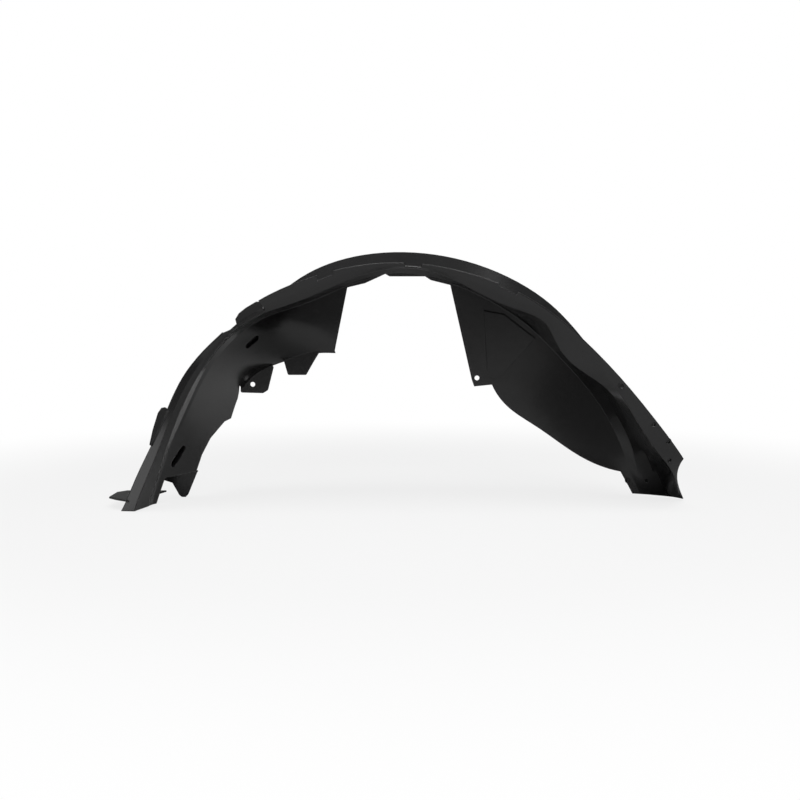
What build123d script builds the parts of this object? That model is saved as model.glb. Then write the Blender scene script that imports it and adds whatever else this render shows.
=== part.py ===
import os
from math import cos, radians, sin

from build123d import *

os.makedirs("parts", exist_ok=True)

# A left-hand front wheel-arch liner. +X is to the car's rear, +Y inboard, +Z up, in mm.
# The sections lie on radial planes through the wheel's axle line.

# Sheet
wall = 2.5
axle_x = 10.0
axle_z = 20.0
vault_share = 0.22

# Depth of the inner wall's lower end, and how far the wall leans outboard to its top corner
inner_y = 206.0
wall_lean = 6.0
corner_y = inner_y - wall_lean

# Each row is one section, from the rear foot over the top to the front foot. It holds the angle, then
# radius and depth of the free edge, the step, the root, the inboard corner and the wall's lower end,
# and last how far the vault between root and corner rises.
arch_rows = [
    (-2.5, (459, 108), (444, 110), (427, 131), (377, 148), (344, 153), 2),
    (3, (440, 48), (413, 52), (400, 122), (362, 151), (300, 166), 3),
    (8, (420, 12), (392, 15), (381, 108), (354, 155), (262, 186), 10),
    (18, (388, 0), (363, 3), (356, 70), (343, 172), (215, inner_y - 3), 10),
    (30, (365, 0), (349, 3), (338, 14), (329, corner_y - 8), (190, inner_y), 18),
    (46, (352, 0), (336, 3), (321, 10), (321, corner_y), (175, inner_y), 36),
    (54, (350, 0), (342, 3), (333, 10), (322, corner_y), (170, inner_y), 30),
    (62, (349, 0), (336, 3), (324, 10), (323, corner_y), (170, inner_y), 38),
    (74, (348, 0), (337, 3), (328, 10), (328, corner_y), (180, inner_y), 35),
    (98, (353, 0), (346, 3), (341, 10), (336, corner_y), (200, inner_y), 27),
    (114, (359, 0), (345, 3), (333, 10), (330, corner_y), (225, inner_y), 33),
    (126, (367, 0), (355, 3), (346, 10), (342, 165), (256, inner_y), 10),
    (138, (368, 0), (364, 3), (360, 10), (356, 98), (284, inner_y), 4),
    (150, (379, 3), (368, 2), (361, 11), (356, 57), (307, inner_y - 3), 3),
    (163, (383.5, 5), (372, 1), (365, 16), (359, 50), (304, 188), 2),
    (174, (403, 8), (386, 1), (377, 30), (375, 52), (320, 164), 1),
    (178.5, (415, 8.5), (397, 1), (386, 36), (382, 57), (329, 156), 1),
    (182.7, (430, 9), (408, 1), (395, 42), (390, 61), (338, 148), 1),
]


def radial_plane(angle):
    c = cos(radians(angle))
    s = sin(radians(angle))
    return Plane(origin=(axle_x, 0, axle_z), x_dir=(c, 0, s), z_dir=(-s, 0, c))


def outer_line(points):
    # the same line moved one wall to its right, with mitred corners
    steps = [(b - a).normalized() for a, b in zip(points, points[1:])]
    sides = [Vector(d.Y, -d.X) for d in steps]
    middle = [p + (m + n) * (wall / (1 + m.dot(n))) for p, m, n in zip(points[1:], sides, sides[1:])]
    return [points[0] + sides[0] * wall] + middle + [points[-1] + sides[-1] * wall]


def arch_section(angle, edge, step, root, corner, end, rise):
    # a closed section, one wall thick, whose vault is lifted square to the line from root to corner
    start = Vector(*root)
    chord = Vector(*corner) - start
    lift = Vector(chord.Y, -chord.X).normalized() * rise
    first = start + chord * vault_share + lift
    second = start + chord * (1 - vault_share) + lift
    line = [Vector(*edge), Vector(*step), start, first, second, Vector(*corner), Vector(*end)]
    with BuildSketch(radial_plane(angle)) as sketch:
        with BuildLine():
            Polyline(*line, *reversed(outer_line(line)), close=True)
        make_face()
    return sketch.sketch.faces()[0]


# Openings and free edges, as outlines in the XZ plane; the rear wall's lower edge is a curve
inboard = (0, 1, 0)
upward = (0, 0, 1)
gap_left = [(-107, 232), (-86, 335)]
gap_top = [(-57, 342), (-24, 357), (-17, 353), (41, 353), (50, 347), (82, 339)]
tab_edge = [(118, 184), (122, 173), (151, 176)]
rear_edge = [(179, 138), (226, 106), (295, 60), (356, 39)]
foot_edge = [(377, 0), (377, -5)]
leg_edge = [(-341, -5), (-341, -1), (-337, 16), (-326, 42), (-317, 68), (-304, 94), (-285, 118)]
leg_top = [(-273, 123), (-266, 133), (-268, 144), (-262, 176), (-252, 160), (-100, 205)]
wall_cut_y = 110
leg_cut_y = 66
leg_cut_z = 42

# Rear end: the flange's tip, the bite below it and the foot's outer edge
rear_end = [(426, 79), (421, 62), (427, 38), (452, -5)]
rear_end_y = 130
clear_x = 500

# Lip: its front end is cut back to the root, and its free edge has three notches
lip_end = [(-209, 315), (-199, 300), (-217, 292.5), (-231, 286), (-241, 277)]
lip_clear = [(-262, 268), (-285, 300), (-220, 345)]
crown_notch = [(5, 380), (8, 361), (30, 360), (35, 380)]
front_notch = [(-124, 375), (-122, 345), (-98, 354), (-100, 378)]
rear_notch = [(144, 360), (146, 337), (172, 324), (180, 342)]
notch_y = 7

# Clip flaps below the front wall and the two clip holes
flap_set = 2.0
flap_y = inner_y - flap_set
low_flap = [(-262, 181), (-206, 210), (-217, 167), (-225, 162), (-262, 163)]
high_flap = [(-192, 220), (-184, 192), (-154, 192), (-142, 213), (-128, 236)]
flap_corner = 3.0
clip_hole_r = 4.0
front_clip = (-242, 176.5)
rear_clip = (126.5, 187)

# Side flaps on the front edge, each on a plane that leans inboard from the edge
top_flap_at = (-241, 6, 277)
top_flap = [(0, -3), (1, 16), (9, 25), (22, 29), (40, 30), (46, 24), (46, -3)]
leg_flap_at = (-345, 4, 153)
leg_flap = [(1, -1), (1, 16), (6, 27), (16, 30), (40, 18), (60, 3), (60, -1)]

# Raised panel on the rear wall: a plane along the wall, the outline on it and its height
panel_at = (190, inner_y - 4.3, 234.5)
panel_out = (-0.026, -1, -0.032)
panel = [(-53, 63), (-20, 57), (2, 40), (31, 18), (-19, -39), (-34, -50), (-42, -47), (-47, -34)]
panel_rise = 2.0

# Screw dimples on the rear flange and foot: the place of each on the sheet, and its outward direction
dimple_r = 3.0
dimple_depth = 6.0
dimples = [
    ((329, 0, 189), inboard),
    ((377.5, 0, 132), inboard),
    ((400, 3, 105.5), inboard),
    ((404.5, 14.5, 76.5), inboard),
    ((368, 152.5, 25.3), (0.214, 0.977, 0)),
    ((396.7, 142, 26.2), (0.5, 0.867, 0)),
]

# Formed pockets in the front wall: place, outward direction, long direction, length, width and depth
pockets = [
    ((-233.5, 133, 249), (-0.727, 0.574, 0.378), (0.668, 0.469, 0.574), 28, 10, 9),
    ((-344.4, 77.5, 74.4), (-0.843, 0.425, 0.33), (0.473, 0.291, 0.832), 38, 15, 11),
]
seat = 1.2
reach = 8.0

# Front foot: floor tab, shelf and bracket
tab_z = 14.0
foot_tab = [(-408, 5.5), (-430, 24), (-444, 40), (-442, 88), (-430, 104), (-368, 104), (-388, 44)]
shelf_z = 40.5
shelf = [(-371, 60), (-374, 142.5), (-324, 142.5)]
bracket_y = 140.0
bracket_foot = [(-365, 23), (-354, 3), (-350, 0), (-344, 0), (-340, 4)]
bracket = [(-374, 43), (-381, 33), (-381, 28)] + bracket_foot + [(-325, 40), (-325, 43)]


def outline(plane, points, corner=0.0):
    with BuildSketch(plane) as sketch:
        with BuildLine():
            FilletPolyline(*points, radius=corner, close=True)
        make_face()
    return sketch.sketch


def upright(y, points, corner=0.0):
    return outline(Plane.XZ.offset(-y), points, corner)


def disc(plane, radius):
    with BuildSketch(plane) as sketch:
        Circle(radius)
    return sketch.sketch


def slot(plane, length, width):
    with BuildSketch(plane) as sketch:
        SlotOverall(length, width)
    return sketch.sketch


with BuildPart() as shell:
    loft(sections=[arch_section(*row) for row in arch_rows])

# Everything that is cut out of the moulded shell
with BuildPart() as cuts:
    with BuildSketch(Plane.XZ.offset(-wall_cut_y)) as gap:
        with BuildLine():
            Polyline(*leg_edge, *leg_top, *gap_left, *gap_top, *tab_edge)
            Spline(tab_edge[-1], *rear_edge)
            Polyline(rear_edge[-1], *foot_edge, leg_edge[0])
        make_face()
    extrude(gap.sketch, amount=200, dir=inboard)
    leg_cut = upright(leg_cut_y, [(-420, leg_cut_z), (-300, leg_cut_z), (-300, -10), (-420, -10)])
    extrude(leg_cut, amount=200, dir=inboard)
    with BuildSketch(Plane.XZ.offset(20)) as end_cut:
        with BuildLine():
            Spline(*rear_end)
            Polyline(rear_end[-1], (clear_x, rear_end[-1][1]), (clear_x, rear_end[0][1]), rear_end[0])
        make_face()
    extrude(end_cut.sketch, amount=20 + rear_end_y, dir=inboard)
    for notch in (lip_end + lip_clear, crown_notch, front_notch, rear_notch):
        extrude(upright(-20, notch), amount=20 + notch_y, dir=inboard)
    clip_plane = Plane.XZ.offset(-flap_y + 10)
    with BuildSketch(clip_plane):
        with Locations(rear_clip):
            Circle(clip_hole_r)
    extrude(amount=20, dir=inboard)
    panel_plane = Plane(origin=panel_at, x_dir=(1, 0, 0), z_dir=panel_out)
    panel_back = offset(outline(panel_plane.offset(-2 * wall), panel), amount=-wall)
    extrude(panel_back, amount=wall + panel_rise, dir=panel_out)

# Everything that stands off the shell
with BuildPart() as fittings:
    extrude(upright(flap_y, low_flap, flap_corner), amount=wall, dir=inboard)
    extrude(upright(flap_y, high_flap, flap_corner), amount=wall, dir=inboard)
    with BuildSketch(clip_plane):
        with Locations(front_clip):
            Circle(clip_hole_r)
    extrude(amount=20, dir=inboard, mode=Mode.SUBTRACT)
    extrude(outline(Plane.XY.offset(shelf_z), shelf), amount=wall, dir=upward)
    extrude(upright(bracket_y, bracket), amount=wall, dir=inboard)
    extrude(outline(Plane.XY.offset(tab_z), foot_tab), amount=wall, dir=upward)
    top_plane = Plane(origin=top_flap_at, x_dir=(0.877, 0, 0.48), z_dir=(-0.384, -0.599, 0.702))
    extrude(outline(top_plane, top_flap), amount=wall)
    leg_plane = Plane(origin=leg_flap_at, x_dir=(-0.473, 0, -0.881), z_dir=(0.763, 0.5, -0.41))
    extrude(outline(leg_plane, leg_flap), amount=wall)
    extrude(outline(panel_plane.offset(panel_rise - wall), panel), amount=wall, dir=panel_out)
    for place, outward in dimples:
        back = Plane(origin=place, z_dir=outward).offset(seat)
        extrude(disc(back, dimple_r + wall), amount=dimple_depth, dir=outward)
    for place, outward, along, length, width, depth in pockets:
        back = Plane(origin=place, x_dir=along, z_dir=outward).offset(seat)
        extrude(slot(back, length + 2 * wall, width + 2 * wall), amount=depth, dir=outward)

# The blind hollows of dimples and pockets, cut through the shell and into the cups behind it
with BuildPart() as hollows:
    for place, outward in dimples:
        mouth = Plane(origin=place, z_dir=outward).offset(-reach)
        extrude(disc(mouth, dimple_r), amount=reach + seat + dimple_depth - wall, dir=outward)
    for place, outward, along, length, width, depth in pockets:
        mouth = Plane(origin=place, x_dir=along, z_dir=outward).offset(-reach)
        extrude(slot(mouth, length, width), amount=reach + seat + depth - wall, dir=outward)

with BuildPart() as liner:
    add(shell.part)
    add(cuts.part, mode=Mode.SUBTRACT)
    add(fittings.part)
    add(hollows.part, mode=Mode.SUBTRACT)

# The origin is the middle of the liner's box, on the floor
box = liner.part.bounding_box()
placed = Pos(-box.center().X, -box.center().Y, -box.min.Z) * liner.part
placed.label = "liner"
export_step(placed, "parts/liner.step")
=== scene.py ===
import math

import bpy
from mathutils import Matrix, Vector


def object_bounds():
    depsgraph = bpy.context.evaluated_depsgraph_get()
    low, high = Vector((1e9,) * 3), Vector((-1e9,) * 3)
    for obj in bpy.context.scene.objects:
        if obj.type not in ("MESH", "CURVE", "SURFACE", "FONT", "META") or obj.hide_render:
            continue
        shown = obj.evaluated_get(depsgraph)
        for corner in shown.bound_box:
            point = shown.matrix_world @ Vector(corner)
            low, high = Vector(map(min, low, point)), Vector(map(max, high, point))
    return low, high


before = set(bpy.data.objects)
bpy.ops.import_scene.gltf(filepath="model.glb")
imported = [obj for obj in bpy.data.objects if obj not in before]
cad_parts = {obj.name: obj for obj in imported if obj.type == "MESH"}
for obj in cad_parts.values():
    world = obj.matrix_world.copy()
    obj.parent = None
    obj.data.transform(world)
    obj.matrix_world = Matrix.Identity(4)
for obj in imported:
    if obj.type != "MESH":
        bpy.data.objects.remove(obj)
cad_low, cad_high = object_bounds()
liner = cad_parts["liner"]

# Plastic: tints and roughness of the flow clouds, then the grain and the softened edges, in metres
tint_dark = (0.0040, 0.0040, 0.0044, 1)
tint_light = (0.0066, 0.0065, 0.0065, 1)
tint_span = (0.3, 0.75)
roughness = (0.16, 0.26)
refraction = 1.5
cloud_scale = 9.0
cloud_detail = 3.0
grain_scale = 700.0
grain_detail = 2.0
grain_strength = 0.02
grain_depth = 0.0004
edge_radius = 0.0022
edge_samples = 6

# Studio, in metres: the surfaces' grey under the lamps, the share of plain white that the camera sees near
# the object, and the distances over which that share grows to the whole
white = (1, 1, 1, 1)
studio_grey = (0.5, 0.5, 0.5, 1)
floor_share = 0.8
backdrop_share = 1.0
fade_from = 0.55
fade_to = 1.3
floor_size = (16, 14)
floor_middle_y = 2.0
floor_gap = 0.0005
backdrop_size = (16, 8)
backdrop_place = (0, 5.0, 3.9)
world_strength = 0.2

# Lamps: name, place, aim, width and height, and watts
lamps = [
    ("top_light", (0.0, -0.6, 2.2), (0, 0.05, 0.2), (2.4, 1.3), 40),
    ("front_light", (0.3, -2.1, 1.9), (0.1, 0, 0.05), (1.6, 0.8), 36),
    ("left_light", (-2.3, -1.3, 0.45), (0, 0, 0.2), (0.9, 1.0), 5),
    ("right_light", (2.2, -1.0, 1.3), (0, 0, 0.2), (0.8, 1.0), 4),
]

# Camera: place in metres, degrees that it looks down, lens and sensor in millimetres
camera_place = (-0.00253, -2.00396, 0.33126)
camera_down = 4.897
camera_lens = 57.78
camera_sensor = 36.0


# Materials
def new_material(name):
    mat = bpy.data.materials.new(name)
    mat.use_nodes = True
    nodes = mat.node_tree.nodes
    nodes.clear()
    return mat, nodes, mat.node_tree.links


def moulded_plastic():
    # black moulded sheet: faint flow clouds in colour and gloss, a fine grain, and softened edges
    mat, nodes, links = new_material("moulded_black")
    out = nodes.new("ShaderNodeOutputMaterial")
    shader = nodes.new("ShaderNodeBsdfPrincipled")
    shader.inputs["Metallic"].default_value = 0.0
    shader.inputs["IOR"].default_value = refraction
    links.new(shader.outputs["BSDF"], out.inputs["Surface"])
    coords = nodes.new("ShaderNodeTexCoord")

    clouds = nodes.new("ShaderNodeTexNoise")
    clouds.inputs["Scale"].default_value = cloud_scale
    clouds.inputs["Detail"].default_value = cloud_detail
    links.new(coords.outputs["Object"], clouds.inputs["Vector"])
    tint = nodes.new("ShaderNodeValToRGB")
    for element, spot, colour in zip(tint.color_ramp.elements, tint_span, (tint_dark, tint_light)):
        element.position = spot
        element.color = colour
    links.new(clouds.outputs["Fac"], tint.inputs["Fac"])
    links.new(tint.outputs["Color"], shader.inputs["Base Color"])
    gloss = nodes.new("ShaderNodeMapRange")
    gloss.inputs["To Min"].default_value = roughness[0]
    gloss.inputs["To Max"].default_value = roughness[1]
    links.new(clouds.outputs["Fac"], gloss.inputs["Value"])
    links.new(gloss.outputs["Result"], shader.inputs["Roughness"])

    grain = nodes.new("ShaderNodeTexNoise")
    grain.inputs["Scale"].default_value = grain_scale
    grain.inputs["Detail"].default_value = grain_detail
    links.new(coords.outputs["Object"], grain.inputs["Vector"])
    soft = nodes.new("ShaderNodeBevel")
    soft.samples = edge_samples
    soft.inputs["Radius"].default_value = edge_radius
    bump = nodes.new("ShaderNodeBump")
    bump.inputs["Strength"].default_value = grain_strength
    bump.inputs["Distance"].default_value = grain_depth
    links.new(grain.outputs["Fac"], bump.inputs["Height"])
    links.new(soft.outputs["Normal"], bump.inputs["Normal"])
    links.new(bump.outputs["Normal"], shader.inputs["Normal"])
    return mat


def studio_white(name, near_share):
    # grey studio surface under the lamps, which is also what the object's gloss mirrors; the camera sees it
    # as plain white, by a smaller share near the object, where its shadow falls
    mat, nodes, links = new_material(name)
    out = nodes.new("ShaderNodeOutputMaterial")
    diffuse = nodes.new("ShaderNodeBsdfDiffuse")
    diffuse.inputs["Color"].default_value = studio_grey
    plain = nodes.new("ShaderNodeEmission")
    plain.inputs["Color"].default_value = white
    plain.inputs["Strength"].default_value = 1.0
    path = nodes.new("ShaderNodeLightPath")
    seen = nodes.new("ShaderNodeMath")
    seen.operation = "MAXIMUM"
    links.new(path.outputs["Is Camera Ray"], seen.inputs[0])
    links.new(path.outputs["Is Transmission Ray"], seen.inputs[1])
    place = nodes.new("ShaderNodeNewGeometry")
    reach = nodes.new("ShaderNodeVectorMath")
    reach.operation = "LENGTH"
    links.new(place.outputs["Position"], reach.inputs[0])
    share = nodes.new("ShaderNodeMapRange")
    share.interpolation_type = "SMOOTHSTEP"
    share.inputs["From Min"].default_value = fade_from
    share.inputs["From Max"].default_value = fade_to
    share.inputs["To Min"].default_value = near_share
    share.inputs["To Max"].default_value = 1.0
    links.new(reach.outputs["Value"], share.inputs["Value"])
    part = nodes.new("ShaderNodeMath")
    part.operation = "MULTIPLY"
    links.new(seen.outputs["Value"], part.inputs[0])
    links.new(share.outputs["Result"], part.inputs[1])
    lit = nodes.new("ShaderNodeMixShader")
    links.new(part.outputs["Value"], lit.inputs["Fac"])
    links.new(diffuse.outputs["BSDF"], lit.inputs[1])
    links.new(plain.outputs["Emission"], lit.inputs[2])
    links.new(lit.outputs["Shader"], out.inputs["Surface"])
    return mat


# Liner: the CAD node itself, in its plastic
liner.data.materials.clear()
liner.data.materials.append(moulded_plastic())


# Stage
def plane(name, size, place, turn, material):
    bpy.ops.mesh.primitive_plane_add(size=1, location=place, rotation=turn)
    obj = bpy.context.object
    obj.name = name
    obj.scale = (size[0], size[1], 1)
    obj.data.materials.append(material)


def softbox(name, place, aim, size, watts):
    data = bpy.data.lights.new(name, "AREA")
    data.shape = "RECTANGLE"
    data.size = size[0]
    data.size_y = size[1]
    data.energy = watts
    obj = bpy.data.objects.new(name, data)
    bpy.context.scene.collection.objects.link(obj)
    obj.location = place
    obj.rotation_euler = (Vector(aim) - Vector(place)).to_track_quat("-Z", "Y").to_euler()


floor_place = (0, floor_middle_y, cad_low.z - floor_gap)
plane("floor", floor_size, floor_place, (0, 0, 0), studio_white("floor_white", floor_share))
upright = (math.radians(90), 0, 0)
plane("backdrop", backdrop_size, backdrop_place, upright, studio_white("backdrop_white", backdrop_share))
for lamp in lamps:
    softbox(*lamp)

world = bpy.data.worlds.new("studio")
bpy.context.scene.world = world
world.use_nodes = True
background = world.node_tree.nodes["Background"]
background.inputs["Color"].default_value = white
background.inputs["Strength"].default_value = world_strength

# Camera: at the photo's place, in front of the wheel side and a little above
camera_data = bpy.data.cameras.new("camera")
camera_data.sensor_width = camera_sensor
camera_data.lens = camera_lens
camera = bpy.data.objects.new("camera", camera_data)
bpy.context.scene.collection.objects.link(camera)
camera.location = camera_place
camera.rotation_euler = (math.radians(90 - camera_down), 0, 0)
bpy.context.scene.camera = camera

bpy.context.scene.view_settings.view_transform = "Standard"
